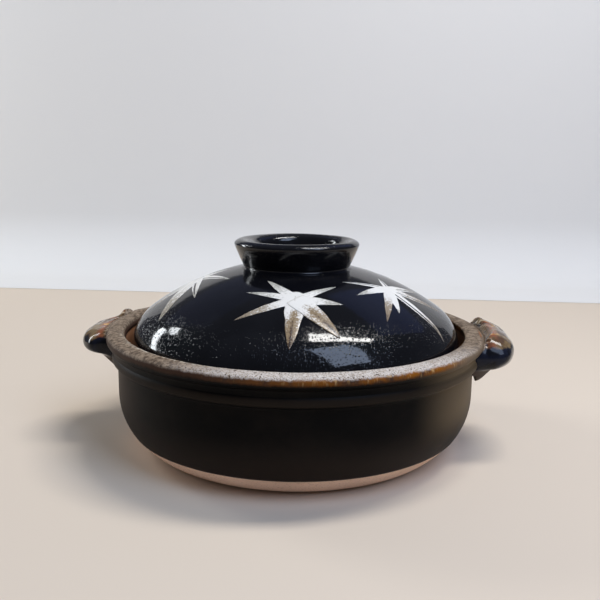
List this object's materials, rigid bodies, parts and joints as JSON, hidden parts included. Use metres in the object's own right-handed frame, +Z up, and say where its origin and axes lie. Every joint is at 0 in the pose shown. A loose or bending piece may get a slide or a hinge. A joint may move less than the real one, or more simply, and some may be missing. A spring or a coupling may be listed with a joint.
{
  "type": "donabe clay pot",
  "caption": "Lidded stoneware cooking pot with a low round bowl, lug handles, a ledge inside the rim and a domed lid with a ring knob and steam hole.",
  "frame": {"origin": "on the table, under the middle of the pot's flat base", "axes": "+Z up along the pot's axis, +X towards the right handle, -Y towards the front, with the steam hole at the back"},
  "size_m": [0.3038, 0.26, 0.1416],
  "materials": {
    "bare_clay": "matte, fine grained, unglazed",
    "pot_glaze": "satin dark brown, drier and speckled on the rim",
    "inner_glaze": "semi-gloss brown",
    "handle_glaze": "gloss, breaking amber on ridges",
    "lid_glaze": "gloss black"
  },
  "bodies": {
    "pot": {"pot_body": "bare_clay", "pot_outer_glaze": "pot_glaze", "pot_inner_glaze": "inner_glaze", "handle_right": "handle_glaze", "handle_left": "handle_glaze"},
    "lid": {"lid_dome": "bare_clay", "lid_outer_glaze": "lid_glaze", "lid_inner_glaze": "inner_glaze", "lid_knob": "lid_glaze", "knob_well_glaze": "lid_glaze"}
  },
  "joints": [
    {"name": "lid_lift", "type": "slide", "parent": "pot", "child": "lid", "axis": [0, 0, 1], "range_m": [0, 0.12]}
  ]
}
